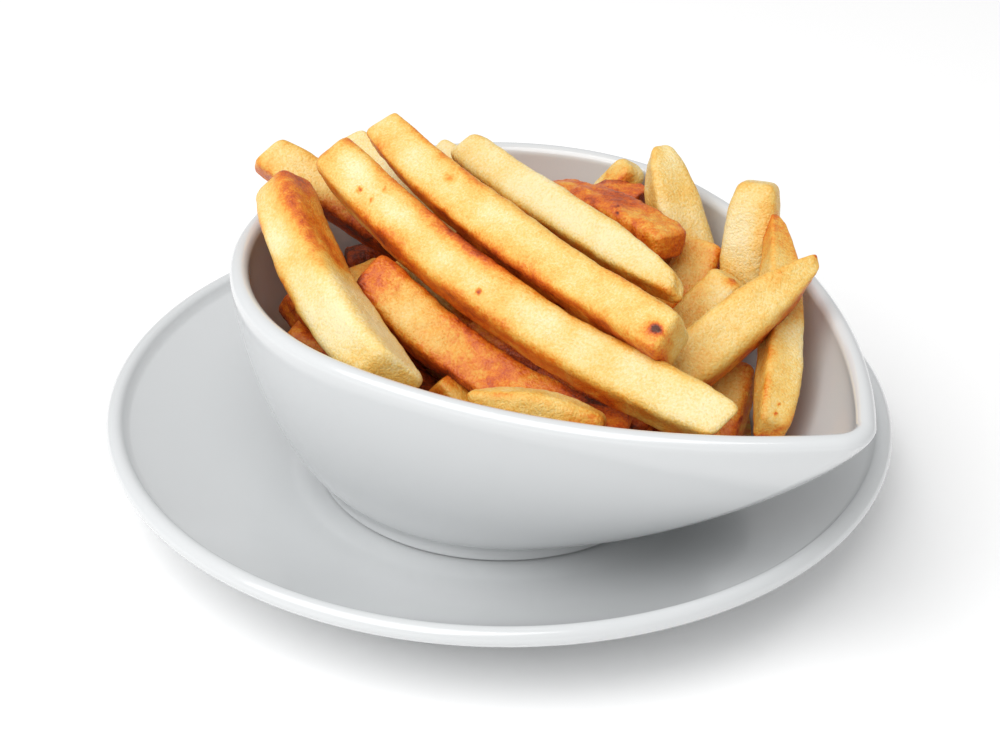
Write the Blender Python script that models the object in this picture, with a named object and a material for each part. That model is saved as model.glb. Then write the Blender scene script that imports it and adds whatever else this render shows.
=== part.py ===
"""A portion of french fries in a drop-shaped porcelain bowl that stands on its round saucer.

Metres, +Z up. The origin is the middle of the saucer's foot ring, on the table.
The bowl's point looks towards +X -Y. The fries are one closed heap that lies in the bowl.
"""
import math

import bmesh
import bpy
from mathutils import Matrix, Vector

MM = 0.001
GAP = 0.3 * MM                  # clearance between pieces that rest on each other
SEGMENTS = 72                   # points round the saucer and round the bowl

# saucer
SAUCER_RADIUS = 90 * MM
SAUCER_RIM_TUBE = 2.1 * MM      # half the thickness of the rolled rim
SAUCER_RIM_HEIGHT = 19.5 * MM   # middle of the rolled rim
WELL_RADIUS = 48 * MM
WELL_TOP = 4 * MM
WELL_UNDERSIDE = 1.2 * MM
SAUCER_WALL = 3.3 * MM
SAUCER_FOOT = (46 * MM, 50 * MM)    # inner and outer radius of the foot ring
SLOPE_POWER = 1.35              # how hollow the slope from the well to the rim is

# bowl: two end circles of the drop-shaped lip, joined by large arcs
LIP_RADIUS = 58.2 * MM
POINT_RADIUS = 7.2 * MM
POINT_DISTANCE = 92 * MM        # from the round end's centre to the point's centre
SIDE_RADIUS = 139 * MM
POINT_DIRECTION = math.radians(-45)
LIP_HEIGHT = 55.7 * MM          # middle of the rolled lip
LIP_TUBE = 2.1 * MM
BOWL_FOOT_RADIUS = 42.2 * MM
BOWL_FOOT_INNER = 37 * MM
BOWL_BOTTOM = WELL_TOP + GAP
BODY_START = 8 * MM             # where the foot ring ends and the body flares out
FLOOR_HEIGHT = 11.5 * MM
FLOOR_RADIUS = 37 * MM
BELLY = (1.6, 1.2)              # fullness of the wall at the round end and at the point

# heap
CORE_EDGE_HEIGHT = 37 * MM
CORE_TOP_HEIGHT = 54 * MM
CORE_SCALE = 0.45               # top of the core compared with its edge
END_REACH = 12 * MM             # how far from its end a fry starts to narrow
LONGEST_END = 0.35              # most of a short fry's length that one narrowing end takes
# corners of a fry's section with its edges cut off, as parts of half its width and thickness
CORNERS = [(1, 0.72), (0.72, 1), (-0.72, 1), (-1, 0.72), (-1, -0.72), (-0.72, -1), (0.72, -1), (1, -0.72)]
ROOM_REACH = 40 * MM            # how far the space for food reaches over the lip
ROOM_TOP = 100 * MM

# One row for each fry: name, the middle of its two ends, width at both ends, thickness (all mm),
# roll (degrees), sag (to its side, upwards, how much nearer the first end), then for each end
# how much it narrows and how far its cut slants (mm).
FRIES = [
    ("back_left", (-55, 29, 68), (-17, 14, 50), (9, 10), 10, 50, (0, 0, 0), (0.95, 3), (0.9, 0)),
    ("left_tip", (-36, 39, 67), (-5, 13, 52), (9, 9), 9, 50, (0, 0, 0), (0.7, 0), (0.9, 0)),
    ("third", (-9, 28, 70), (35.5, -23.5, 64.5), (10, 10.5), 10, 57, (0, -1, 0), (0.75, 0), (0.42, -2)),
    ("third_tip", (-16, 38, 65), (13, 14, 52), (9, 9), 9, 55, (0, 0, 0), (0.7, 0), (0.9, 0)),
    ("upright", (57, 10, 72), (53, -2, 48), (8, 11), 9, 0, (0, 0, 0), (0.95, 0), (0.9, 0)),
    ("back_upright", (36, 31, 69), (44, 12, 46), (9, 12), 10, 0, (0, 0, 0), (0.5, 0), (0.9, 0)),
    ("back_tip", (31, 42, 60), (20, 38, 44), (9, 11), 9, 0, (0, 0, 0), (0.6, 0), (0.9, 0)),
    ("middle_tip", (-23, 2, 55), (-5, -10, 42), (8, 8), 8, 0, (0, 0, 0), (0.7, 0), (0.9, 0)),
    ("front_left", (-50, 14, 67), (-22, -44, 51), (12, 13.5), 12, 40, (3, -1, 0), (0.85, 0), (0.95, -3)),
    ("longest", (-38, 15, 74), (44, -62, 53.5), (11, 11.5), 11.5, 58, (4, -4, 0), (0.85, 0), (0.95, 0)),
    ("second", (-27.5, 22, 78.5), (35, -49, 64), (7.5, 12), 11, 58, (2, -2, 0.4), (0.8, 0), (0.9, 0)),
    ("front_rim", (-6, -50, 50), (21, -56, 48), (9, 9), 9, 20, (0, 1, 0), (0.7, 0), (0.8, 0)),
    ("right_long", (60, 4, 67), (56, -50, 44), (6, 9), 8, 20, (-2, 0, 0), (0.5, 0), (0.9, 0)),
    ("right_slant", (66.5, -22, 68.5), (34, -39, 48), (8.5, 12), 10.5, 35, (0, 0, 0), (0.95, -2), (0.9, 0)),
    ("right_short", (51, -8, 57), (36, -18, 42), (10, 10), 9, 10, (0, 0, 0), (0.9, 0), (0.9, 0)),
    ("back_wide", (46, 10, 56), (38, -4, 38), (12, 12), 9, 0, (0, 0, 0), (0.9, 0), (0.9, 0)),
    ("dark_back", (10, 31, 60), (38, -1, 61), (11, 12), 9, 10, (0, 0, 0), (0.4, 0), (0.9, 0)),
    ("dark_stub", (23, 38, 54), (33, 30, 57), (9, 9), 8, 0, (0, 0, 0), (0.9, 0), (0.7, 0)),
    ("dark_front", (-29, -8, 57), (21, -46, 41), (11.5, 12.5), 10, -35, (2, -3, 0), (0.85, 0), (0.9, 0)),
    ("under_longest", (-7, -15, 46), (29, -44, 39), (10, 10), 9, 20, (0, 0, 0), (0.9, 0), (0.9, 0)),
    ("right_deep", (51, -26, 45), (44, -44, 30), (10, 10), 9, 0, (0, 0, 0), (0.9, 0), (0.9, 0)),
    ("front_deep", (-13, -30, 43), (0, -38, 30), (9, 9), 9, 0, (0, 0, 0), (0.9, 0), (0.9, 0)),
    ("left_deep", (-48, 6, 43), (-20, -20, 30), (10, 10), 9, 0, (0, 0, 0), (0.8, 0), (0.9, 0)),
    ("left_low", (-47, -10, 42), (-14, -22, 32), (10, 10), 9, 0, (0, 0, 0), (0.8, 0), (0.9, 0)),
    ("middle_deep", (36, -6, 51), (14, 8, 40), (9, 9), 9, 0, (0, 0, 0), (0.9, 0), (0.9, 0)),
    ("back_low", (-37, 27, 40), (14, 38, 37), (10, 11), 10, 10, (0, 0, 0), (0.8, 0), (0.9, 0)),
    ("back_wall", (-33, 36, 43), (16, 45, 40), (11, 10), 10, 20, (0, 0, 0), (0.8, 0), (0.7, 0)),
    ("back_cross", (-6, 39, 48.5), (28, 18, 51.5), (10, 11), 10, 30, (0, 0, 0), (0.8, 0), (0.9, 0)),
    ("back_right", (2, 26, 50), (33, 33, 46), (10, 10), 10, 0, (0, 0, 0), (0.8, 0), (0.9, 0)),
    ("cross_left", (-40, -14, 36), (-6, 18, 44), (10, 10), 10, 0, (0, 0, 0), (0.8, 0), (0.9, 0)),
    ("cross_right", (8, -44, 38), (48, 2, 44), (10, 10), 10, 0, (0, 0, 0), (0.8, 0), (0.9, 0)),
    ("high_prop", (-8, -4, 61.5), (8, 14, 58.5), (10, 10), 10, 0, (0, 0, 0), (0.9, 0), (0.9, 0)),
    ("left_prop", (-43, -13, 48.5), (-25, 4, 50), (10, 10), 9, 0, (0, 0, 0), (0.8, 0), (0.9, 0)),
    ("rim_prop", (-4, -44, 43.5), (26, -49, 42), (10, 10), 9, 0, (0, 0, 0), (0.8, 0), (0.9, 0)),
]


def clear_scene():
    for item in list(bpy.data.objects):
        bpy.data.objects.remove(item, do_unlink=True)


def material(name, colour, roughness):
    """A plain Principled material."""
    made = bpy.data.materials.new(name)
    made.use_nodes = True
    shader = made.node_tree.nodes["Principled BSDF"]
    shader.inputs["Base Color"].default_value = (*colour, 1)
    shader.inputs["Roughness"].default_value = roughness
    shader.inputs["Metallic"].default_value = 0.0
    made.diffuse_color = (*colour, 1)
    return made


def object_from_bmesh(name, mesh, look=None):
    """Close the bmesh's normals, put it in the scene and give it its material."""
    bmesh.ops.recalc_face_normals(mesh, faces=mesh.faces)
    data = bpy.data.meshes.new(name)
    mesh.to_mesh(data)
    mesh.free()
    made = bpy.data.objects.new(name, data)
    bpy.context.collection.objects.link(made)
    if look:
        data.materials.append(look)
    return made


def loft(mesh, rings, centre_first, centre_last):
    """Join rings of equal length into a closed skin whose two ends are fans round a centre."""
    loops = [[mesh.verts.new(point) for point in ring] for ring in rings]
    count = len(loops[0])
    for lower, upper in zip(loops, loops[1:]):
        for i in range(count):
            k = (i + 1) % count
            mesh.faces.new((lower[i], lower[k], upper[k], upper[i]))
    for loop, centre in ((loops[0], centre_first), (loops[-1], centre_last)):
        middle = mesh.verts.new(centre)
        for i in range(count):
            mesh.faces.new((loop[i], loop[(i + 1) % count], middle))


def steps(count):
    """Even fractions from 0 to 1."""
    return [i / count for i in range(count + 1)]


def arc(centre_r, centre_z, radius, start, end, count):
    """Points (r, z) on an arc between two angles in degrees."""
    angles = [math.radians(start + (end - start) * t) for t in steps(count)]
    return [(centre_r + radius * math.cos(a), centre_z + radius * math.sin(a)) for a in angles]


# --- saucer -------------------------------------------------------------------------------

def slope_height(radius):
    """Height of the saucer's upper side between the well and the rim."""
    rim_start = SAUCER_RADIUS - 2 * SAUCER_RIM_TUBE
    rise = SAUCER_RIM_HEIGHT - WELL_TOP
    part = max(0.0, (radius - WELL_RADIUS) / (rim_start - WELL_RADIUS))
    return WELL_TOP + rise * part ** SLOPE_POWER


def build_saucer():
    """A turned dish: foot ring, sloping wall, rolled rim and a flat well."""
    foot_in, foot_out = SAUCER_FOOT
    soften = 1 * MM
    rim_start = SAUCER_RADIUS - 2 * SAUCER_RIM_TUBE
    rim_middle = SAUCER_RADIUS - SAUCER_RIM_TUBE
    profile = [(foot_in - soften, WELL_UNDERSIDE), (foot_in, 0), (foot_out, 0)]
    for part in steps(4):
        radius = foot_out + 2 * soften + (rim_start - foot_out - 2 * soften) * part
        profile.append((radius, slope_height(radius) - SAUCER_WALL))
    profile += arc(rim_middle, SAUCER_RIM_HEIGHT, SAUCER_RIM_TUBE, -60, 150, 5)
    for part in steps(4):
        radius = rim_start + (WELL_RADIUS - rim_start) * part
        profile.append((radius - soften, slope_height(radius - soften)))
    turn = [2 * math.pi * i / SEGMENTS for i in range(SEGMENTS)]
    rings = [[(r * math.cos(a), r * math.sin(a), z) for a in turn] for r, z in profile]
    mesh = bmesh.new()
    loft(mesh, rings, (0, 0, WELL_UNDERSIDE), (0, 0, WELL_TOP))
    return object_from_bmesh("saucer", mesh, material("white_porcelain_saucer", (0.78, 0.8, 0.8), 0.15))


# --- bowl ---------------------------------------------------------------------------------

def side_arc():
    """Centre of the large side arc and the normals where it meets the two end circles."""
    to_round = SIDE_RADIUS - LIP_RADIUS
    to_point = SIDE_RADIUS - POINT_RADIUS
    x = (to_round ** 2 - to_point ** 2 + POINT_DISTANCE ** 2) / (2 * POINT_DISTANCE)
    y = -math.sqrt(to_round ** 2 - x ** 2)
    return x, y, math.atan2(-y, -x), math.atan2(-y, POINT_DISTANCE - x)


def drop(angle):
    """Point of the lip's middle line whose outward normal has this angle, and that normal."""
    x, y, meets_round, meets_point = side_arc()
    turn = abs(angle)
    if turn >= meets_round:
        centre, radius = (0, 0), LIP_RADIUS
    elif turn >= meets_point:
        centre, radius = (x, y), SIDE_RADIUS
    else:
        centre, radius = (POINT_DISTANCE, 0), POINT_RADIUS
    side = 1 if angle >= 0 else -1
    normal = Vector((math.cos(angle), math.sin(angle), 0))
    return Vector((centre[0], side * centre[1], 0)) + normal * radius, normal


def fullness(angle, part):
    """How far the wall has come out at this part of its height: steep at first, then upright."""
    towards_point = 0.5 + 0.5 * math.cos(angle)
    power = BELLY[0] + (BELLY[1] - BELLY[0]) * towards_point
    return (1 - (1 - part) ** power) ** (1 / power)


def wall_ring(base_radius, offset, part, height):
    """One ring of the wall between a round base and the lip's drop moved out by an offset."""
    turned = Matrix.Rotation(POINT_DIRECTION, 3, "Z")
    ring = []
    for i in range(SEGMENTS):
        angle = 2 * math.pi * (i + 0.5) / SEGMENTS - math.pi
        point, normal = drop(angle)
        base = normal * base_radius
        place = base + (point + normal * offset - base) * fullness(angle, part)
        place.z = height
        ring.append(turned @ place)
    return ring


def lip_rings(tube, start, end, count):
    """Rings over the rolled lip, from one angle of its round section to another."""
    return [wall_ring(0, r, 1, z) for r, z in arc(0, LIP_HEIGHT, tube, start, end, count)]


def outer_rings(count):
    return [wall_ring(BOWL_FOOT_RADIUS, LIP_TUBE, t, BODY_START + (LIP_HEIGHT - BODY_START) * t)
            for t in steps(count)][:-1]


def inner_rings(clearance, count):
    """Rings of the inside from the floor up, closer to the middle by the clearance."""
    floor = FLOOR_HEIGHT + clearance
    return [wall_ring(FLOOR_RADIUS - clearance, -LIP_TUBE - clearance, t,
                      floor + (LIP_HEIGHT - floor) * t) for t in steps(count)][:-1]


def build_bowl():
    """Foot ring, flaring drop-shaped wall, rolled lip, inside and floor."""
    soften = 0.8 * MM
    recess = BOWL_BOTTOM + 2 * MM
    foot = [wall_ring(BOWL_FOOT_INNER - soften, 0, 0, recess),
            wall_ring(BOWL_FOOT_INNER, 0, 0, BOWL_BOTTOM),
            wall_ring(BOWL_FOOT_RADIUS - soften, 0, 0, BOWL_BOTTOM),
            wall_ring(BOWL_FOOT_RADIUS, 0, 0, BOWL_BOTTOM + soften)]
    rings = foot + outer_rings(7) + lip_rings(LIP_TUBE, 0, 180, 4) + inner_rings(0, 6)[::-1]
    mesh = bmesh.new()
    loft(mesh, rings, (0, 0, recess), (0, 0, FLOOR_HEIGHT))
    return object_from_bmesh("bowl", mesh, material("white_porcelain_bowl", (0.8, 0.82, 0.83), 0.12))


# --- fries --------------------------------------------------------------------------------

def narrowing(part, length, first_end, last_end):
    """How much of the full width a fry has at this part of its length."""
    to_first = min(1, part * length / END_REACH)
    to_last = min(1, (1 - part) * length / END_REACH)
    first = first_end[0] + (1 - first_end[0]) * to_first * (2 - to_first)
    return first * (last_end[0] + (1 - last_end[0]) * to_last * (2 - to_last))


def narrowing(part, length, first_end, last_end):
    """How much of the full width a fry has at this part of its length."""
    to_first = min(1, part * length / END_REACH)
    to_last = min(1, (1 - part) * length / END_REACH)
    first = first_end[0] + (1 - first_end[0]) * to_first * (2 - to_first)
    return first * (last_end[0] + (1 - last_end[0]) * to_last * (2 - to_last))


def narrowing(part, length, first_end, last_end):
    """How much of the full width a fry has at this part of its length."""
    to_first = min(1, part * length / END_REACH)
    to_last = min(1, (1 - part) * length / END_REACH)
    first = first_end[0] + (1 - first_end[0]) * to_first * (2 - to_first)
    return first * (last_end[0] + (1 - last_end[0]) * to_last * (2 - to_last))


def narrowing(part, length, first_end, last_end):
    """How much of the full width a fry has at this part of its length."""
    to_first = min(1, part * length / END_REACH)
    to_last = min(1, (1 - part) * length / END_REACH)
    first = first_end[0] + (1 - first_end[0]) * to_first * (2 - to_first)
    return first * (last_end[0] + (1 - last_end[0]) * to_last * (2 - to_last))


def narrowing(part, length, first_end, last_end):
    """How much of the full width a fry has at this part of its length."""
    to_first = min(1, part * length / END_REACH)
    to_last = min(1, (1 - part) * length / END_REACH)
    first = first_end[0] + (1 - first_end[0]) * to_first * (2 - to_first)
    return first * (last_end[0] + (1 - last_end[0]) * to_last * (2 - to_last))


def narrowing(part, length, first_end, last_end):
    """How much of the full width a fry has at this part of its length."""
    to_first = min(1, part * length / END_REACH)
    to_last = min(1, (1 - part) * length / END_REACH)
    first = first_end[0] + (1 - first_end[0]) * to_first * (2 - to_first)
    return first * (last_end[0] + (1 - last_end[0]) * to_last * (2 - to_last))


def fry(mesh, row):
    """One cut potato stick: a bent bar with chamfered edges whose two ends narrow and slant."""
    _, first, last, widths, thick, roll, sag, first_end, last_end = row
    first, last = Vector(first) * MM, Vector(last) * MM
    length = (last - first).length
    along = (last - first).normalized()
    side = along.cross(Vector((0, 0, 1))).normalized()
    up = side.cross(along)
    turn = Matrix.Rotation(math.radians(-roll), 3, along)
    wide, deep = turn @ side, turn @ up
    near_end = min(END_REACH / length, LONGEST_END)
    parts = [0, near_end, 1 - near_end, 1]
    if any(sag):
        parts.insert(2, 0.5)
    rings = []
    for part in parts:
        arch = 4 * part * (1 - part) * (1 + sag[2] * (1 - 2 * part)) * MM
        middle = first.lerp(last, part) + (side * sag[0] + up * sag[1]) * arch
        narrow = narrowing(part, length, first_end, last_end)
        half_w = (widths[0] + (widths[1] - widths[0]) * part) / 2 * narrow * MM
        half_t = thick / 2 * narrow * MM
        slant = {0: first_end[1], 1: last_end[1]}.get(part, 0) * MM
        rings.append([middle + wide * x * half_w + deep * y * half_t + along * x * slant
                      for x, y in CORNERS])
    loft(mesh, rings, rings[0][0].lerp(rings[0][4], 0.5), rings[-1][0].lerp(rings[-1][4], 0.5))


def build_core():
    """A low mound that fills the bottom of the bowl under the fries."""
    rings = [ring for ring in inner_rings(2 * GAP, 8)
             if ring[0].z < CORE_EDGE_HEIGHT]
    top = []
    for part in (0.5, 1.0):
        scale = 1 + (CORE_SCALE - 1) * part
        height = CORE_EDGE_HEIGHT + (CORE_TOP_HEIGHT - CORE_EDGE_HEIGHT) * part
        top.append([Vector((p.x * scale, p.y * scale, height)) for p in rings[-1]])
    mesh = bmesh.new()
    loft(mesh, rings + top, (0, 0, rings[0][0].z), (0, 0, CORE_TOP_HEIGHT))
    return object_from_bmesh("core", mesh)


def build_room():
    """The space where food can be: inside the bowl and over its lip."""
    over_lip = lip_rings(LIP_TUBE + GAP, 180, 90, 2)
    height = LIP_HEIGHT + LIP_TUBE + GAP
    outside = [wall_ring(0, ROOM_REACH, 1, height), wall_ring(0, ROOM_REACH, 1, ROOM_TOP)]
    mesh = bmesh.new()
    loft(mesh, inner_rings(GAP, 6) + over_lip + outside,
         (0, 0, FLOOR_HEIGHT + GAP), (0, 0, ROOM_TOP))
    return object_from_bmesh("room", mesh)


def cut(target, tool, operation):
    """Apply one exact Boolean and take its tool away."""
    step = target.modifiers.new(operation.lower(), "BOOLEAN")
    step.object = tool
    step.operation = operation
    step.solver = "EXACT"
    bpy.context.view_layer.update()
    graph = bpy.context.evaluated_depsgraph_get()
    data = bpy.data.meshes.new_from_object(target.evaluated_get(graph))
    target.modifiers.clear()
    target.data = data
    bpy.data.objects.remove(tool, do_unlink=True)


def build_fries():
    """All fries and the mound under them as one closed heap, cut to fit the bowl."""
    heap = build_core()
    heap.name = "fries"
    for row in FRIES:
        mesh = bmesh.new()
        fry(mesh, row)
        cut(heap, object_from_bmesh(row[0], mesh), "UNION")
    cut(heap, build_room(), "INTERSECT")
    heap.data.name = "fries"
    heap.data.materials.clear()
    heap.data.materials.append(material("fried_potato", (0.8, 0.5, 0.18), 0.55))
    return heap


clear_scene()
build_saucer()
build_bowl()
build_fries()
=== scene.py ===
"""A portion of french fries in a drop-shaped porcelain bowl on its round saucer.

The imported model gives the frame: metres, +Z up, the origin at the middle of the saucer's foot.
The sections follow the way the portion is put together: saucer, bowl, fries from the
bottom of the heap up, and then the table, the light and the camera.
"""
import math

import bpy
import numpy as np
from mathutils import Matrix


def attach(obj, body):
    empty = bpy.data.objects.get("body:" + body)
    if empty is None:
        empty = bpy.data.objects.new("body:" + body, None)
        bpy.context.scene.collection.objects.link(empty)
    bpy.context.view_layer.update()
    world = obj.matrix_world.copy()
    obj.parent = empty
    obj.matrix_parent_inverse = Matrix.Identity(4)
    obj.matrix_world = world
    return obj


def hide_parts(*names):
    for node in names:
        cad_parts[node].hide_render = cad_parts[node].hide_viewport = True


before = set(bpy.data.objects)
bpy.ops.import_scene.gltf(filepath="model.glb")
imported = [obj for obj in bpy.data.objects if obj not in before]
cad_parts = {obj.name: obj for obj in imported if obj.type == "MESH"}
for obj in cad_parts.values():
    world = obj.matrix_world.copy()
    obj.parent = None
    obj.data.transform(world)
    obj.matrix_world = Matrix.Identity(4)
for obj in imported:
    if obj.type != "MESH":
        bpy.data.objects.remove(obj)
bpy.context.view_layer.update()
MM = 0.001

# --- Saucer ---------------------------------------------------------------------------------
# The underplate that comes with the bowl: hard porcelain, pressed and turned, with a rolled
# rim, a hollow slope and a flat well, dipped in clear glaze and fired white and glossy.

SAUCER_RADIUS = 90 * MM
SAUCER_RIM_TUBE = 2.1 * MM
SAUCER_RIM_HEIGHT = 19.5 * MM
WELL_RADIUS = 48 * MM
WELL_TOP = 4 * MM
WELL_UNDERSIDE = 1.2 * MM
SAUCER_WALL = 3.3 * MM
SAUCER_FOOT = (46 * MM, 50 * MM)
SLOPE_POWER = 1.35
SAUCER_TURNS = 288


def arc(centre_r, centre_z, radius, start, end, count):
    """Points (r, z) of a circle round a centre between two angles in degrees, as an array."""
    angle = np.radians(np.linspace(start, end, count))
    return np.stack([centre_r + radius * np.cos(angle), centre_z + radius * np.sin(angle)], 1)


def slope_height(radius):
    """Height of the slope: the well's height plus the rise times (way out from the well)^power."""
    rim_start = SAUCER_RADIUS - 2 * SAUCER_RIM_TUBE
    part = np.clip((radius - WELL_RADIUS) / (rim_start - WELL_RADIUS), 0, 1)
    return WELL_TOP + (SAUCER_RIM_HEIGHT - WELL_TOP) * part ** SLOPE_POWER


def saucer_profile():
    """Closed section (r, z) from the middle of the underside, round the rim, to the middle on top."""
    foot_in, foot_out = SAUCER_FOOT
    soft = 0.8 * MM
    rim_start = SAUCER_RADIUS - 2 * SAUCER_RIM_TUBE
    rim_middle = SAUCER_RADIUS - SAUCER_RIM_TUBE
    under = np.stack([np.linspace(1 * MM, foot_in - 2 * soft, 12), np.full(12, WELL_UNDERSIDE)], 1)
    foot = np.concatenate([arc(foot_in, soft, soft, 180, 270, 5),
                           arc(foot_out - soft, soft, soft, 270, 360, 5)])
    out = np.linspace(foot_out + 2 * soft, rim_start, 40)
    outside = np.stack([out, slope_height(out) - SAUCER_WALL], 1)
    rim = arc(rim_middle, SAUCER_RIM_HEIGHT, SAUCER_RIM_TUBE, -62, 148, 20)
    back = np.linspace(rim_start - 0.6 * MM, WELL_RADIUS - 2 * MM, 50)
    inside = np.stack([back, slope_height(back)], 1)
    well = np.stack([np.linspace(WELL_RADIUS - 4 * MM, 1 * MM, 16), np.full(16, WELL_TOP)], 1)
    return np.concatenate([under, foot, outside, rim, inside, well])


def grid_faces(rows, count, start=0):
    """Faces of a closed skin over a grid of points, in fours and in threes: rows are joined to
    rows, each row closes on itself, and the first and last rows end in a fan round a centre
    point. The two centres follow the grid's own points, whose first one has the number start."""
    i, k = np.meshgrid(np.arange(rows - 1), np.arange(count), indexing="ij")
    near, far = start + i * count + k, start + i * count + (k + 1) % count
    quads = np.stack([near, far, far + count, near + count], -1).reshape(-1, 4)
    ring = np.arange(count)
    turn = (ring + 1) % count
    last, centre = start + (rows - 1) * count, start + rows * count
    first_fan = np.stack([start + turn, start + ring, np.full(count, centre)], 1)
    last_fan = np.stack([last + ring, last + turn, np.full(count, centre + 1)], 1)
    return quads, np.concatenate([first_fan, last_fan])


def grid_mesh(name, points, centre_first, centre_last, values=None):
    """Mesh object with a closed skin over one grid of points and its two centres."""
    quads, fans = grid_faces(*points.shape[:2])
    flat = np.concatenate([points.reshape(-1, 3), [centre_first, centre_last]])
    return skin(name, flat, quads, fans, values)


def skin(name, points, quads, triangles, values=None):
    """Mesh object from arrays of points, four-sided and three-sided faces, shaded smooth.
    Optional values, one per point, become attributes."""
    mesh = bpy.data.meshes.new(name)
    mesh.vertices.add(len(points))
    mesh.vertices.foreach_set("co", np.asarray(points, np.float32).ravel())
    corners = np.concatenate([quads.ravel(), triangles.ravel()]).astype(np.int32)
    sizes = np.concatenate([np.full(len(quads), 4), np.full(len(triangles), 3)])
    mesh.loops.add(len(corners))
    mesh.loops.foreach_set("vertex_index", corners)
    mesh.polygons.add(len(sizes))
    mesh.polygons.foreach_set("loop_start", np.concatenate([[0], np.cumsum(sizes)[:-1]]).astype(np.int32))
    mesh.polygons.foreach_set("use_smooth", np.ones(len(sizes), bool))
    mesh.update(calc_edges=True)
    for key, column in (values or {}).items():
        mesh.attributes.new(key, "FLOAT", "POINT").data.foreach_set("value", column.astype(np.float32))
    mesh.validate()
    made = bpy.data.objects.new(name, mesh)
    bpy.context.scene.collection.objects.link(made)
    return made


def linear(code):
    """sRGB hex colour to the linear red, green, blue, alpha that the shader wants."""
    value = np.array([int(code[i:i + 2], 16) for i in (1, 3, 5)]) / 255
    line = np.where(value <= 0.04045, value / 12.92, ((value + 0.055) / 1.055) ** 2.4)
    return (*line.tolist(), 1.0)


def add(tree, kind, settings, **links):
    """Adds a node, sets its properties and unlinked sockets, and joins its inputs to outputs."""
    node = tree.nodes.new(kind)
    for key, value in settings.items():
        if key in node.inputs:
            node.inputs[key].default_value = value
        else:
            setattr(node, key, value)
    for key, output in links.items():
        tree.links.new(output, node.inputs[key.replace("_", " ")])
    return node


def glazed_porcelain(name, body):
    """Hard white porcelain under clear glaze, fired glossy.

    The glaze is smooth with a very faint long wave, so the softbox shows as broad soft
    reflections with slightly wandering edges, and the white stays a touch cool."""
    made = bpy.data.materials.new(name)
    made.use_nodes = True
    tree = made.node_tree
    shader = tree.nodes["Principled BSDF"]
    shader.inputs["Base Color"].default_value = linear(body)
    shader.inputs["Roughness"].default_value = 0.16
    shader.inputs["IOR"].default_value = 1.5
    shader.inputs["Coat Weight"].default_value = 0.5
    shader.inputs["Coat Roughness"].default_value = 0.04
    shader.inputs["Coat IOR"].default_value = 1.5
    place = add(tree, "ShaderNodeTexCoord", {})
    wave_length = 22 * MM
    wave = add(tree, "ShaderNodeTexNoise", {"Scale": 1 / wave_length, "Detail": 1.0},
               Vector=place.outputs["Object"])
    bump = add(tree, "ShaderNodeBump", {"Strength": 0.12, "Distance": 0.3 * MM}, Height=wave.outputs["Fac"])
    tree.links.new(bump.outputs["Normal"], shader.inputs["Coat Normal"])
    return made


angles = np.linspace(0, 2 * np.pi, SAUCER_TURNS, endpoint=False)
profile = saucer_profile()
turned = np.stack([profile[:, :1] * np.cos(angles), profile[:, :1] * np.sin(angles),
                   np.repeat(profile[:, 1:], SAUCER_TURNS, 1)], -1)
saucer = grid_mesh("saucer_glazed", turned, (0, 0, WELL_UNDERSIDE), (0, 0, WELL_TOP))
saucer.data.materials.append(glazed_porcelain("glazed_porcelain_saucer", "#d2d4d5"))
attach(saucer, "root")
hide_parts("saucer")

# --- Bowl -----------------------------------------------------------------------------------
# The bowl: slip-cast porcelain whose lip is a drop, a round end drawn out to a soft point.
# The wall grows out of a round foot ring and flares up to a thin rolled lip, glazed all over.

LIP_RADIUS = 58.2 * MM
POINT_RADIUS = 7.2 * MM
POINT_DISTANCE = 92 * MM
SIDE_RADIUS = 139 * MM
POINT_DIRECTION = math.radians(-45)
LIP_HEIGHT = 55.7 * MM
LIP_TUBE = 2.1 * MM
BOWL_FOOT_RADIUS = 42.2 * MM
BOWL_FOOT_INNER = 37 * MM
BOWL_BOTTOM = WELL_TOP + 0.3 * MM
BODY_START = 8 * MM
FLOOR_HEIGHT = 11.5 * MM
FLOOR_RADIUS = 37 * MM
BELLY = (1.6, 1.2)
BOWL_TURNS = 360


def drop(angle):
    """Points of the lip's middle line whose outward normals have these angles, and the normals.

    The outline is made of arcs: the round end about the origin, the point's small arc, and a
    large arc on each side that touches both, so each point is an arc's centre plus its radius
    times the normal."""
    to_round, to_point = SIDE_RADIUS - LIP_RADIUS, SIDE_RADIUS - POINT_RADIUS
    x = (to_round ** 2 - to_point ** 2 + POINT_DISTANCE ** 2) / (2 * POINT_DISTANCE)
    y = -math.sqrt(to_round ** 2 - x ** 2)
    meets_round, meets_point = math.atan2(-y, -x), math.atan2(-y, POINT_DISTANCE - x)
    turn, side = np.abs(angle), np.where(angle >= 0, 1, -1)
    arcs = [turn >= meets_round, turn >= meets_point]
    radius = np.select(arcs, [LIP_RADIUS, SIDE_RADIUS], POINT_RADIUS)
    normal = np.stack([np.cos(angle), np.sin(angle)], -1)
    centre = np.stack([np.select(arcs, [0, x], POINT_DISTANCE), side * np.select(arcs, [0, y], 0)], -1)
    return centre + normal * radius[..., None], normal


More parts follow.
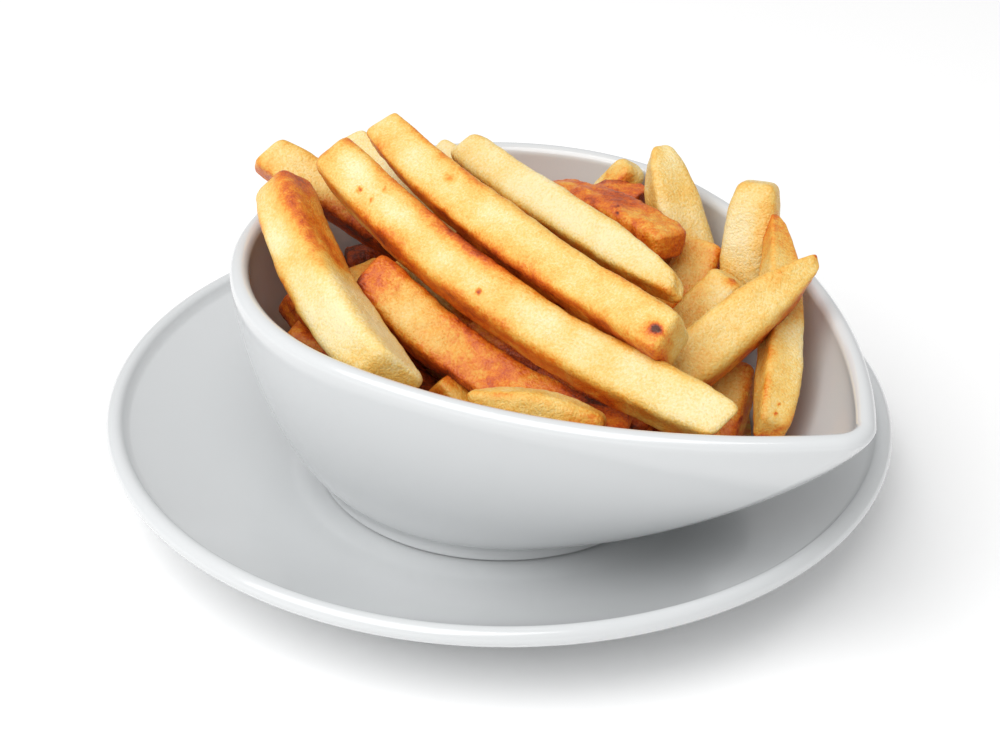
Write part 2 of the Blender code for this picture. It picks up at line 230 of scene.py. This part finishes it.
def wall_rings(base_radius, offset, part, height):
    """Rings of the wall, one per entry of the arrays: a blend from a round base to the lip's
    drop moved out by an offset, by (1 - (1 - part)^n)^(1/n), with n fuller at the round end."""
    angle = np.linspace(-np.pi, np.pi, BOWL_TURNS, endpoint=False) + np.pi / BOWL_TURNS
    point, normal = drop(angle)
    power = BELLY[0] + (BELLY[1] - BELLY[0]) * (0.5 + 0.5 * np.cos(angle))
    base_radius, offset, part, height = (np.atleast_1d(v)[:, None] for v in
                                         np.broadcast_arrays(base_radius, offset, part, height))
    out = ((1 - (1 - part) ** power) ** (1 / power))[..., None]
    base = normal * base_radius[..., None]
    flat = base + (point + normal * offset[..., None] - base) * out
    c, s = math.cos(POINT_DIRECTION), math.sin(POINT_DIRECTION)
    return np.stack([flat[..., 0] * c - flat[..., 1] * s, flat[..., 0] * s + flat[..., 1] * c,
                     np.broadcast_to(height, flat.shape[:2])], -1)


def bowl_rings():
    """All rings from the middle of the underside, up the outside, over the lip, down to the floor."""
    soft = 0.8 * MM
    recess = BOWL_BOTTOM + 2 * MM
    under = wall_rings(np.linspace(1 * MM, BOWL_FOOT_INNER - 2 * soft, 10), 0, 0, recess)
    ring = np.concatenate([arc(BOWL_FOOT_INNER, BOWL_BOTTOM + soft, soft, 180, 270, 5),
                           arc(BOWL_FOOT_RADIUS - soft, BOWL_BOTTOM + soft, soft, 270, 360, 5)])
    foot = wall_rings(ring[:, 0], 0, 0, ring[:, 1])
    part = np.linspace(0, 1, 70)[:-1] ** 1.5
    outside = wall_rings(BOWL_FOOT_RADIUS, LIP_TUBE, part, BODY_START + (LIP_HEIGHT - BODY_START) * part)
    roll = arc(0, LIP_HEIGHT, LIP_TUBE, 0, 180, 17)
    lip = wall_rings(0, roll[:, 0], 1, roll[:, 1])
    part = part[::-1]
    inside = wall_rings(FLOOR_RADIUS, -LIP_TUBE, part, FLOOR_HEIGHT + (LIP_HEIGHT - FLOOR_HEIGHT) * part)
    floor = wall_rings(np.linspace(FLOOR_RADIUS - 2 * MM, 1 * MM, 14), 0, 0, FLOOR_HEIGHT)
    return np.concatenate([under, foot, outside, lip, inside, floor]), recess


rings, recess = bowl_rings()
bowl = grid_mesh("bowl_glazed", rings, (0, 0, recess), (0, 0, FLOOR_HEIGHT))
bowl.data.materials.append(glazed_porcelain("glazed_porcelain_bowl", "#d2d4d5"))
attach(bowl, "root")
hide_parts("bowl")

# --- Fries ----------------------------------------------------------------------------------
# Peeled potatoes cut into sticks of about 11 mm, fried twice. Each is a bar with four faces
# that sank a little, edges that took more colour, and ends as the knife or the potato left them.

# One row for each fry: name, the middle of its two ends, width at both ends, thickness (mm),
# roll (degrees), sag (to its side, upwards, how much nearer the first end), then for each end
# how much it narrows, how far its cut slants (mm) and, where that isn't 14 mm, how far the
# narrowing reaches, and how toasted its faces and edges are.
FRIES = {
    "pale": [
        ("back_left", (-55, 29, 68), (-17, 14, 50), (9, 10), 10, 50, (0, 0, 0),
         (0.85, 0.5, 8), (0.9, 0), 0.15, 0.2),
        ("left_tip", (-36, 39, 67), (-5, 13, 52), (9, 9), 9, 50, (0, 0, 0),
         (0.7, 0), (0.9, 0), 0.04, 0.1),
        ("third", (-9, 28, 70), (37.2, -24.8, 63.6), (10, 10.5), 10, 57, (0, -1, 0),
         (0.75, 0), (0.38, -1, 21), 0.05, 0.25),
        ("third_tip", (-16, 38, 65), (13, 14, 52), (9, 9), 9, 55, (0, 0, 0),
         (0.7, 0), (0.9, 0), 0.06, 0.15),
        ("upright", (57, 10, 72), (53, -2, 48), (10.5, 12.5), 9.5, 0, (0, 0, 0),
         (0.8, 0, 9), (0.6, 0, 14), 0.08, 0.2),
        ("back_upright", (36, 31, 69), (44, 12, 46), (11.5, 12), 10, 0, (0, 0, 0),
         (0.38, 0, 15), (0.9, 0), 0.12, 0.2),
        ("back_tip", (31, 42, 60), (20, 38, 44), (9, 11), 9, 0, (0, 0, 0),
         (0.6, 0), (0.9, 0), 0.08, 0.15),
        ("middle_tip", (-23, 2, 55), (-5, -10, 42), (8, 8), 8, 0, (0, 0, 0),
         (0.7, 0), (0.9, 0), 0.15, 0.2),
    ],
    "golden": [
        ("front_left", (-50, 14, 67), (-22, -44, 51), (12, 13.5), 12, 40, (3, -1, 0),
         (0.8, 0, 10), (0.86, -3, 16), 0.1, 0.4),
        ("longest", (-38, 15, 74), (44, -62, 53.5), (11, 11.5), 11.5, 58, (4, -4, 0),
         (0.82, 0, 10), (0.85, 4, 10), 0.1, 0.3),
        ("second", (-27.5, 22, 78.5), (35, -49, 64), (7.5, 12), 11, 58, (2, -2, 0.4),
         (0.8, 0), (0.9, 0), 0.08, 0.3),
        ("front_rim", (-6, -50, 50), (21, -56, 48), (9, 9), 9, 20, (0, 1, 0),
         (0.6, 0, 12), (0.55, 0, 18), 0.14, 0.4),
        ("right_long", (60, 4, 67), (56, -50, 44), (7, 10), 8.5, 20, (-2, 0, 0),
         (0.3, 0, 18), (0.62, 0, 22), 0.18, 0.3),
        ("right_slant", (66.5, -22, 68.5), (34, -39, 48), (9.5, 12), 10.5, 35, (0, 0, 0),
         (0.42, -1, 17), (0.9, 0), 0.2, 0.2),
        ("right_short", (51, -8, 57), (36, -18, 42), (10, 10), 9, 10, (0, 0, 0),
         (0.9, 0), (0.9, 0), 0.2, 0.2),
        ("back_wide", (46, 10, 56), (38, -4, 38), (12, 12), 9, 0, (0, 0, 0),
         (0.9, 0), (0.9, 0), 0.22, 0.2),
    ],
    "browned": [
        ("dark_back", (10, 31, 60), (38, -1, 61), (11, 12), 9, 10, (0, 0, 0),
         (0.3, 0, 18), (0.8, 0, 8), 0.5, 0.3),
        ("dark_stub", (23, 38, 54), (33, 30, 57), (9, 9), 8, 0, (0, 0, 0), (0.9, 0), (0.7, 0), 0.55, 0.3),
        ("dark_front", (-29, -8, 57), (21, -46, 41), (11.5, 12.5), 10, -35, (2, -3, 0),
         (0.85, 0), (0.9, 0), 0.4, 0.45),
        ("under_longest", (-7, -15, 46), (29, -44, 39), (10, 10), 9, 20, (0, 0, 0),
         (0.9, 0), (0.9, 0), 0.45, 0.3),
    ],
    "under": [
        ("right_deep", (51, -26, 45), (44, -44, 30), (10, 10), 9, 0, (0, 0, 0),
         (0.9, 0), (0.9, 0), 0.3, 0.3),
        ("front_deep", (-13, -30, 43), (0, -38, 30), (9, 9), 9, 0, (0, 0, 0),
         (0.9, 0), (0.9, 0), 0.3, 0.3),
        ("left_deep", (-48, 6, 43), (-20, -20, 30), (10, 10), 9, 0, (0, 0, 0),
         (0.8, 0), (0.9, 0), 0.44, 0.3),
        ("left_low", (-47, -10, 42), (-14, -22, 32), (10, 10), 9, 0, (0, 0, 0),
         (0.8, 0), (0.9, 0), 0.3, 0.3),
        ("middle_deep", (36, -6, 51), (14, 8, 40), (9, 9), 9, 0, (0, 0, 0), (0.9, 0), (0.9, 0), 0.3, 0.3),
        ("back_low", (-37, 27, 40), (14, 38, 37), (10, 11), 10, 10, (0, 0, 0),
         (0.8, 0), (0.9, 0), 0.6, 0.3),
        ("back_wall", (-33, 36, 43), (16, 45, 40), (11, 10), 10, 20, (0, 0, 0),
         (0.8, 0), (0.7, 0), 0.35, 0.3),
        ("back_cross", (-6, 39, 48.5), (28, 18, 51.5), (10, 11), 10, 30, (0, 0, 0),
         (0.8, 0), (0.9, 0), 0.25, 0.3),
        ("back_right", (2, 26, 50), (33, 33, 46), (10, 10), 10, 0, (0, 0, 0),
         (0.8, 0), (0.9, 0), 0.2, 0.3),
        ("cross_left", (-40, -14, 36), (-6, 18, 44), (10, 10), 10, 0, (0, 0, 0),
         (0.8, 0), (0.9, 0), 0.5, 0.3),
        ("cross_right", (8, -44, 38), (48, 2, 44), (10, 10), 10, 0, (0, 0, 0),
         (0.8, 0), (0.9, 0), 0.35, 0.3),
        ("cross_middle", (-10, -8, 48), (24, 14, 50), (10, 10), 10, 0, (0, 0, 0),
         (0.8, 0), (0.9, 0), 0.4, 0.3),
        ("cross_front", (2, -28, 44), (38, -24, 46), (10, 10), 9, 0, (0, 0, 0),
         (0.8, 0), (0.9, 0), 0.45, 0.3),
        ("high_prop", (-8, -4, 61.5), (8, 14, 58.5), (10, 10), 10, 0, (0, 0, 0),
         (0.9, 0), (0.9, 0), 0.4, 0.3),
        ("left_prop", (-43, -13, 48.5), (-25, 4, 50), (10, 10), 9, 0, (0, 0, 0),
         (0.8, 0), (0.9, 0), 0.25, 0.3),
        ("rim_prop", (-4, -44, 43.5), (26, -49, 42), (10, 10), 9, 0, (0, 0, 0),
         (0.8, 0), (0.9, 0), 0.45, 0.3),
        ("low_left", (-42, 14, 36), (-10, -34, 32), (11, 11), 10, 10, (0, 0, 0),
         (0.8, 0), (0.9, 0), 0.4, 0.3),
        ("low_middle", (-34, 30, 37), (16, -22, 40), (11, 11), 10, 10, (0, 0, 0),
         (0.8, 0), (0.9, 0), 0.6, 0.3),
        ("low_right", (-8, 34, 34), (34, -14, 40), (11, 11), 10, 10, (0, 0, 0),
         (0.8, 0), (0.9, 0), 0.4, 0.3),
        ("low_front", (-24, -24, 33), (33, -38, 33), (11, 11), 10, 10, (0, 0, 0),
         (0.8, 0), (0.9, 0), 0.4, 0.3),
        ("low_point", (18, -12, 34), (44, -42, 34), (11, 10), 10, 10, (0, 0, 0),
         (0.8, 0), (0.9, 0), 0.4, 0.3),
        ("low_back", (20, 30, 38), (46, -4, 36), (11, 10), 10, 10, (0, 0, 0),
         (0.8, 0), (0.9, 0), 0.4, 0.3),
    ],
}
NARROWING = 14

# How long the parts of the skin's grid are along a fry and how many there are round it, and
# the shape of its section and ends: squareness, how far faces sink, how round the cuts' edges
# are as a part of the half width, how far cuts lean, and the skin's waves as
# (height, length), of which the fine ones grow once a fry is toasted past a point.
SKIN_STEP = 0.6 * MM
SKIN_TURNS = 64
HIDDEN_STEP = 1.2 * MM
HIDDEN_TURNS = 32
SQUARENESS = (3.8, 5.6)
SUNK = 0.03
CUT_ROUNDING = 0.34
CUT_LEAN = 1.4 * MM
BROAD_WAVES = ((0.6 * MM, 16 * MM), (0.25 * MM, 6 * MM))
FINE_WAVES = ((0.11 * MM, 2.6 * MM), (0.09 * MM, 1.3 * MM))
BLISTERED_FROM = 0.28
BLISTER_GROWTH = 8

# How much more toasted a fry is at its edges, in patches (and as a part of its own toast) and at its ends,
# and how much painted shade is added to the same value on faces that look down, for each millimetre
# below the rim, and beside its neighbours, and how soon that last one fades.
EDGE_TOAST = 0.6
PATCH_TOAST = (0.1, 0.2)
END_TOAST = 0.05
UNDERSIDE_PAINTED_SHADE = 0.22
DEPTH_PAINTED_SHADE = 0.012
RIM_DEPTH = 50
TOUCHING_PAINTED_SHADE = 0.26
TOUCHING_SHADE_FADE = 1.3 * MM

# Marks on single fries: which fry, how far along it, how far round it (degrees from its wide
# side), how far the mark reaches along and round (mm), and how much more toasted it is.
# Most are browned spots and specks; the long strips round 270 to 290 degrees lie along lower
# faces and stand partly for browning and partly paint the warm shade on those faces.
BROWN_MARKS_AND_SHADE_STRIPS = [
    ("longest", 0.13, 342, 0.5, 0.5, 0.8), ("longest", 0.17, 20, 0.5, 0.4, 0.7),
    ("longest", 0.165, 345, 0.4, 0.4, 0.6), ("longest", 0.48, 340, 0.6, 0.6, 0.9),
    ("longest", 0.0, 330, 8, 6, 0.22), ("longest", 0.42, 290, 36, 5, 0.36),
    ("longest", 0.34, 52, 32, 3, 0.5), ("longest", 0.22, 312, 9, 3, 0.2),
    ("longest", 0.12, 10, 8, 3, -0.1), ("longest", 0.9, 270, 14, 5, 0.1),
    ("second", 0.285, 12, 1.7, 1.0, 0.33), ("second", 0.975, 350, 1.2, 1.0, 0.9),
    ("second", 0.975, 350, 2.6, 2.2, 0.2), ("second", 1.0, 320, 4, 5, 0.12),
    ("second", 0.04, 310, 8, 5, 0.07), ("second", 0.5, 285, 44, 5, 0.34),
    ("second", 0.5, 50, 40, 2.5, 0.22),
    ("front_left", 0.02, 85, 6, 9, 0.34), ("front_left", 0.26, 84, 20, 7.5, 0.42),
    ("front_left", 0.42, 90, 8, 3, 0.2), ("front_left", 0.75, 30, 20, 12, -0.08),
    ("dark_front", 0.6, 335, 16, 5, 0.4), ("dark_front", 0.35, 170, 18, 3, 0.2),
    ("dark_front", 0.1, 90, 8, 6, 0.12), ("dark_front", 0.62, 75, 4, 4, 0.14),
    ("dark_front", 0.25, 70, 12, 4, -0.14),
    ("dark_back", 0.3, 100, 14, 3, 0.24), ("dark_back", 0.63, 60, 0.6, 0.5, 0.5),
    ("dark_back", 0.67, 45, 0.5, 0.5, 0.5), ("dark_back", 0.8, 40, 7, 4, -0.08),
    ("right_slant", 0.0, 60, 0.9, 1.2, 0.6), ("right_slant", 0.5, 200, 20, 4, 0.2),
    ("right_short", 0.0, 120, 1.6, 2.4, 0.45), ("right_long", 0.02, 60, 9, 8, 0.25),
    ("right_long", 0.97, 80, 0.5, 0.5, 0.6), ("right_long", 0.93, 85, 0.4, 0.4, 0.6),
    ("right_long", 0.3, 160, 14, 3, 0.2), ("right_deep", 0.5, 150, 0.5, 0.5, 0.7),
    ("third", 0.95, 60, 5, 2.4, 0.15), ("third", 0.5, 285, 34, 4, 0.2),
    ("upright", 0.0, 60, 2, 6, 0.08), ("back_upright", 0.05, 60, 3, 3, 0.16),
    ("left_low", 0.3, 60, 8, 4, 0.2), ("back_left", 0.8, 320, 18, 6, 0.4),
    ("back_left", 0.55, 270, 24, 5, 0.3),
    ("front_rim", 0.9, 20, 8, 6, 0.2), ("front_rim", 0.3, 330, 12, 3, 0.14),
]


def lattice_noise(points, size, seed):
    """Smooth noise from -1 to 1: random values on a lattice of cells of the given size, blended
    in each cell by 3t^2 - 2t^3 along the three axes."""
    cells = 32
    values = np.random.default_rng(seed).uniform(-1, 1, (cells, cells, cells))
    where = np.asarray(points) / size
    low = np.floor(where).astype(int)
    t = where - low
    t = t * t * (3 - 2 * t)
    total = 0
    for corner in np.ndindex(2, 2, 2):
        weight = np.prod(np.where(corner, t, 1 - t), -1)
        index = (low + corner) % cells
        total = total + weight * values[index[..., 0], index[..., 1], index[..., 2]]
    return total


def waves(points, sizes, seed):
    """Sum of smooth noises, each with its own height and length and the next seed."""
    return sum(height * lattice_noise(points, length, seed + number)
               for number, (height, length) in enumerate(sizes))


def bar_axes(first, last, roll):
    """Unit vectors of a bar: along it, to its side and up from it, and then across its width
    and across its thickness, which are the same two turned about the bar by the roll."""
    along = (last - first) / np.linalg.norm(last - first)
    side = np.cross(along, (0, 0, 1))
    side = side / np.linalg.norm(side)
    up = np.cross(side, along)
    c, s = math.cos(math.radians(roll)), math.sin(math.radians(roll))
    return along, side, up, side * c + up * s, up * c - side * s


def bar_rows(length, half, step):
    """How far along the bar each row of its skin lies and how wide it is: out over one cut end,
    round its edge by a quarter circle, straight along, and in over the other end."""
    edge = CUT_ROUNDING * half
    bend = np.radians(np.linspace(0, 90, 6))[1:]
    cap = np.linspace(0.08, 1 - CUT_ROUNDING, 7)
    straight = np.linspace(edge, length - edge, max(8, int((length - 2 * edge) / step)))[1:-1]
    wide, way = 1 - CUT_ROUNDING * (1 - np.sin(bend)), edge * (1 - np.cos(bend))
    way = np.concatenate([0 * cap, way, straight, (length - way)[::-1], length + 0 * cap])
    scale = np.concatenate([cap, wide, 1 + 0 * straight, wide[::-1], cap[::-1]])
    return way, scale


def fry_grid(row, seed, step, turns):
    """Points of one fry on a grid, and how toasted each is.

    Around, r = (|cos a|^p + |sin a|^p)^(-1/p) is a square with round corners, drawn in a little
    at the middle of each face. The bar sags by 4t(1 - t), narrows near its ends by t(2 - t),
    its cut ends slant, and noise in four sizes moves every point along the skin's normal.
    The colour follows how toasted the skin is, with painted shade added, as the values above say, and then
    the marks, some of which paint shade on lower faces."""
    name, first, last, widths, thick, roll, sag, first_end, last_end, toast, edge_toast = row
    first, last = np.array(first) * MM, np.array(last) * MM
    along, side, up, wide, deep = bar_axes(first, last, roll)
    length = np.linalg.norm(last - first)
    way, scale = bar_rows(length, min(*widths, thick) / 2 * MM, step)
    reach = [(end[2] if len(end) > 2 else NARROWING) * MM for end in (first_end, last_end)]
    to_first, to_last = np.clip(way / reach[0], 0, 1), np.clip((length - way) / reach[1], 0, 1)
    narrow = first_end[0] + (1 - first_end[0]) * to_first * (2 - to_first)
    narrow = narrow * (last_end[0] + (1 - last_end[0]) * to_last * (2 - to_last))
    angle = np.linspace(0, 2 * np.pi, turns, endpoint=False)
    power = np.random.default_rng(seed + 9).uniform(*SQUARENESS)
    radius = (np.abs(np.cos(angle)) ** power + np.abs(np.sin(angle)) ** power) ** (-1 / power)
    corner = (radius - 1) / (radius.max() - 1)
    radius = radius * (1 - SUNK * (0.5 + 0.5 * np.cos(4 * angle)))
    t = way / length
    arch = 4 * t * (1 - t) * (1 + sag[2] * (1 - 2 * t))
    middle = first + np.outer(t, last - first) + np.outer(arch, side * sag[0] + up * sag[1]) * MM
    width = widths[0] + (widths[1] - widths[0]) * t
    across, through = np.outer(scale, radius * np.cos(angle)), np.outer(scale, radius * np.sin(angle))
    x = across * (narrow * width / 2 * MM)[:, None]
    y = through * (narrow * thick / 2 * MM)[:, None]
    lean = np.random.default_rng(seed).uniform(-1, 1, 2) * CUT_LEAN
    shift = (1 - to_first[:, None]) ** 2 * (first_end[1] * MM * across + lean[0] * through)
    shift = shift + (1 - to_last[:, None]) ** 2 * (last_end[1] * MM * across + lean[1] * through)
    points = middle[:, None] + x[..., None] * wide + y[..., None] * deep + shift[..., None] * along
    normal = np.cross(np.gradient(points, axis=0), np.roll(points, -1, 1) - np.roll(points, 1, 1))
    normal = normal / np.maximum(np.linalg.norm(normal, axis=-1, keepdims=True), 1e-12)
    blister = 1 + BLISTER_GROWTH * max(0, toast - BLISTERED_FROM)
    on_sides = scale[:, None] > 0.98
    relief = waves(points, BROAD_WAVES, seed) + blister * waves(points, FINE_WAVES, seed + 2) * on_sides
    points = points + normal * (scale[:, None] * relief)[..., None]
    patch = lattice_noise(points, 9 * MM, seed + 4)
    colour = toast + EDGE_TOAST * edge_toast * corner[None] ** 3 * scale[:, None] * (0.4 + 0.8 * patch)
    colour = colour + (PATCH_TOAST[0] + PATCH_TOAST[1] * toast) * lattice_noise(points, 7 * MM, seed + 5)
    colour = colour + END_TOAST * (1 - to_first[:, None] * to_last[:, None])
    # Painted shade: faces that look down are made browner, standing in for the shade under them.
    colour = colour + UNDERSIDE_PAINTED_SHADE * np.clip(0.45 - normal[..., 2], 0, 1)
    # Painted shade: points deeper below the rim are made browner, standing in for the shade in the heap.
    colour = colour + DEPTH_PAINTED_SHADE * np.clip(RIM_DEPTH - points[..., 2] / MM, 0, 20)
    # Painted shade: points close to other fries are made browner, standing in for the shade in the
    # crevices.
    for other in sum(FRIES.values(), []):
        if other[0] != name:
            colour = colour + TOUCHING_PAINTED_SHADE * (1 - toast) * nearness(points, other)
    half = (width[0] + thick) / 4 * MM
    # Marks: browned spots, and long strips that also paint shade along lower faces.
    for marked, along_part, around, far_along, far_round, more in BROWN_MARKS_AND_SHADE_STRIPS:
        if marked == name:
            turned = (angle - math.radians(around) + np.pi) % (2 * np.pi) - np.pi
            gap = ((t - along_part) * length / (far_along * MM))[:, None] ** 2
            gap = gap + (turned * half * 1.15 / (far_round * MM))[None] ** 2
            colour = colour + more * np.exp(-gap)
    return points, colour


def nearness(points, row):
    """How close points lie to another fry, 1 on its skin and 0.1 at 3 mm, by e^(-gap / fade):
    its section is taken as a plain box about its sagging middle line."""
    first, last, widths, thick, roll, sag = row[1:7]
    first, last = np.array(first) * MM, np.array(last) * MM
    along, side, up, wide, deep = bar_axes(first, last, roll)
    length = np.linalg.norm(last - first)
    way = (points - first) @ along
    t = np.clip(way / length, 0, 1)
    arch = (4 * t * (1 - t))[..., None] * (side * sag[0] + up * sag[1]) * MM
    off = points - first - t[..., None] * (last - first) - arch
    half = (widths[0] + (widths[1] - widths[0]) * t) / 2 * MM
    gaps = [np.abs(off @ wide) - half, np.abs(off @ deep) - thick / 2 * MM,
            np.abs(way - length / 2) - length / 2]
    gap = np.sqrt(sum(np.maximum(gap, 0) ** 2 for gap in gaps))
    return np.exp(-gap / TOUCHING_SHADE_FADE)


def fries_mesh(name, rows, seed, step, turns):
    """Many fries joined into one mesh, with how toasted each point is, painted shade included, as an
    attribute. Their grids run the other way round than the bowl's, so their faces are turned."""
    points, quads, fans, toast, start = [], [], [], [], 0
    for number, row in enumerate(rows):
        grid, colour = fry_grid(row, seed + 10 * number, step, turns)
        fours, threes = grid_faces(*grid.shape[:2], start)
        quads.append(fours[:, ::-1])
        fans.append(threes[:, ::-1])
        points.append(np.concatenate([grid.reshape(-1, 3), [grid[0].mean(0), grid[-1].mean(0)]]))
        toast.append(np.concatenate([colour.ravel(), [colour[0].mean(), colour[-1].mean()]]))
        start += len(points[-1])
    return skin(name, np.concatenate(points), np.concatenate(quads), np.concatenate(fans),
                {"toast": np.concatenate(toast)})


def spread(tree, output, low, high, lowest, highest):
    """An output's values from low to high, spread evenly from lowest to highest."""
    limits = {"From Min": low, "From Max": high, "To Min": lowest, "To Max": highest}
    return add(tree, "ShaderNodeMapRange", limits, Value=output).outputs[0]


def fried_potato(name, stops):
    """Cut potato fried in oil: a thin crisp skin over soft flesh, with a trace of oil on it.

    The toast attribute, which carries painted shade as well as toast, picks the colour along a ramp; grains
    of half a millimetre and blotches of 3 mm break it up, the blotches more where it is browned. Grains and
    small dried blisters raise the skin, and the thin film of oil glints on them."""
    made = bpy.data.materials.new(name)
    made.use_nodes = True
    tree = made.node_tree
    shader = tree.nodes["Principled BSDF"]
    shader.inputs["IOR"].default_value = 1.45
    shader.inputs["Subsurface Weight"].default_value = 0.08
    shader.inputs["Subsurface Radius"].default_value = (1.0, 0.45, 0.15)
    shader.inputs["Subsurface Scale"].default_value = 1.2 * MM
    shader.inputs["Coat Weight"].default_value = 0.22
    shader.inputs["Coat Roughness"].default_value = 0.22
    place = add(tree, "ShaderNodeTexCoord", {}).outputs["Object"]
    toast = add(tree, "ShaderNodeAttribute", {"attribute_name": "toast"}).outputs["Fac"]
    grain = add(tree, "ShaderNodeTexNoise", {"Scale": 1 / (0.55 * MM), "Detail": 2.0, "Roughness": 0.6},
                Vector=place).outputs["Fac"]
    blotch = add(tree, "ShaderNodeTexNoise", {"Scale": 1 / (3 * MM), "Detail": 3.0, "Roughness": 0.65},
                 Vector=place).outputs["Fac"]
    blister = add(tree, "ShaderNodeTexVoronoi", {"Scale": 1 / (1.4 * MM)}, Vector=place).outputs["Distance"]
    fine = spread(tree, grain, 0.3, 0.7, -0.085, 0.085)
    amount = spread(tree, toast, 0.1, 0.6, 0.04, 0.24)
    broad = joined(tree, "MULTIPLY", spread(tree, blotch, 0.35, 0.65, -0.5, 0.5), amount)
    level = joined(tree, "ADD", joined(tree, "ADD", toast, fine), broad)
    ramp = add(tree, "ShaderNodeValToRGB", {}, Fac=level)
    while len(ramp.color_ramp.elements) < len(stops):
        ramp.color_ramp.elements.new(0.5)
    for element, (position, code) in zip(ramp.color_ramp.elements, stops):
        element.position = position
        element.color = linear(code)
    tree.links.new(ramp.outputs["Color"], shader.inputs["Base Color"])
    tree.links.new(spread(tree, blotch, 0.35, 0.65, 0.62, 0.42), shader.inputs["Roughness"])
    crust = joined(tree, "MULTIPLY", blister, amount)
    raised = joined(tree, "ADD", joined(tree, "MULTIPLY", grain, 0.5), crust)
    bump = add(tree, "ShaderNodeBump", {"Strength": 0.85, "Distance": 0.7 * MM}, Height=raised)
    tree.links.new(bump.outputs["Normal"], shader.inputs["Normal"])
    tree.links.new(bump.outputs["Normal"], shader.inputs["Coat Normal"])
    return made


def joined(tree, operation, first, second):
    """One sum or product of an output with another output or a number."""
    node = tree.nodes.new("ShaderNodeMath")
    node.operation = operation
    tree.links.new(first, node.inputs[0])
    if isinstance(second, float):
        node.inputs[1].default_value = second
    else:
        tree.links.new(second, node.inputs[1])
    return node.outputs[0]


TOAST_COLOURS = [(0.0, "#eedeac"), (0.1, "#ecd28e"), (0.22, "#e9c066"), (0.36, "#e5a740"), (0.5, "#e07f18"),
                 (0.66, "#cb5a0a"), (0.84, "#9a3a0a"), (1.0, "#55230c")]
potato = fried_potato("fried_potato_pale_to_browned", TOAST_COLOURS)
pieces = []
for number, (kind, rows) in enumerate(FRIES.items()):
    hidden = kind == "under"
    made = fries_mesh("fries_" + kind, rows, 100 * (number + 1), HIDDEN_STEP if hidden else SKIN_STEP,
                      HIDDEN_TURNS if hidden else SKIN_TURNS)
    made.data.materials.append(potato)
    pieces.append(made)

# The core: a low mound of fries pressed together, under all that can be seen.
CORE_TOP = 30 * MM
CORE_TOAST = 0.45
part = np.linspace(0, 1, 30)
inside = wall_rings(FLOOR_RADIUS - 1 * MM, -LIP_TUBE - 1 * MM, part * 0.4,
                    FLOOR_HEIGHT + 0.5 * MM + (CORE_TOP - FLOOR_HEIGHT) * part)
even = np.full(inside[..., 0].size + 2, CORE_TOAST)
core = grid_mesh("fries_core", inside, inside[0].mean(0), inside[-1].mean(0), {"toast": even})
core.data.materials.append(potato)
pieces.append(core)
for piece in pieces:
    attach(piece, "root")
    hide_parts("fries")

# --- Table, light and camera ----------------------------------------------------------------
# A plain white table top, one large soft box overhead at the front left, and even white
# surroundings that fill the shadows.

half_table = 3.0
corners = np.array([[-1, -1, 0], [1, -1, 0], [1, 1, 0], [-1, 1, 0]]) * half_table
table = skin("table", corners, np.array([[0, 1, 2, 3]]), np.zeros((0, 3), int))
paint = bpy.data.materials.new("matt_white_table")
paint.use_nodes = True
paint.node_tree.nodes["Principled BSDF"].inputs["Base Color"].default_value = linear("#fdfdfd")
paint.node_tree.nodes["Principled BSDF"].inputs["Roughness"].default_value = 0.9
table.data.materials.append(paint)

world = bpy.data.worlds.new("white_room")
world.use_nodes = True
world.node_tree.nodes["Background"].inputs["Color"].default_value = (1, 1, 1, 1)
world.node_tree.nodes["Background"].inputs["Strength"].default_value = 0.55
bpy.context.scene.world = world


def softbox(name, place, aim, size, power):
    """A square area light at a place, turned to shine at a point."""
    lamp = bpy.data.lights.new(name, "AREA")
    lamp.shape = "SQUARE"
    lamp.size = size
    lamp.energy = power
    made = bpy.data.objects.new(name, lamp)
    bpy.context.scene.collection.objects.link(made)
    made.location = place
    direction = np.array(aim, float) - np.array(place, float)
    yaw = math.atan2(direction[0], -direction[1])
    tilt = math.atan2(math.hypot(direction[0], direction[1]), -direction[2])
    made.rotation_euler = (tilt, 0, yaw + math.pi)
    return made


softbox("overhead_softbox", (-0.5, -0.55, 1.15), (0, 0, 0.04), 1.4, 18.6)

# The camera looks down on the middle of the bowl from the front, turned by one degree.
camera_data = bpy.data.cameras.new("camera")
camera_data.lens = 78.3
camera_data.sensor_width = 36
camera = bpy.data.objects.new("camera", camera_data)
bpy.context.scene.collection.objects.link(camera)
elevation, distance, aim_height, roll = math.radians(31.2), 0.5, 0.0265, math.radians(1.0)
camera.location = (0, -distance * math.cos(elevation), aim_height + distance * math.sin(elevation))
looking = Matrix.Rotation(math.pi / 2 - elevation, 3, "X") @ Matrix.Rotation(roll, 3, "Z")
camera.rotation_euler = looking.to_euler()
bpy.context.scene.camera = camera
bpy.context.scene.view_settings.view_transform = "Standard"
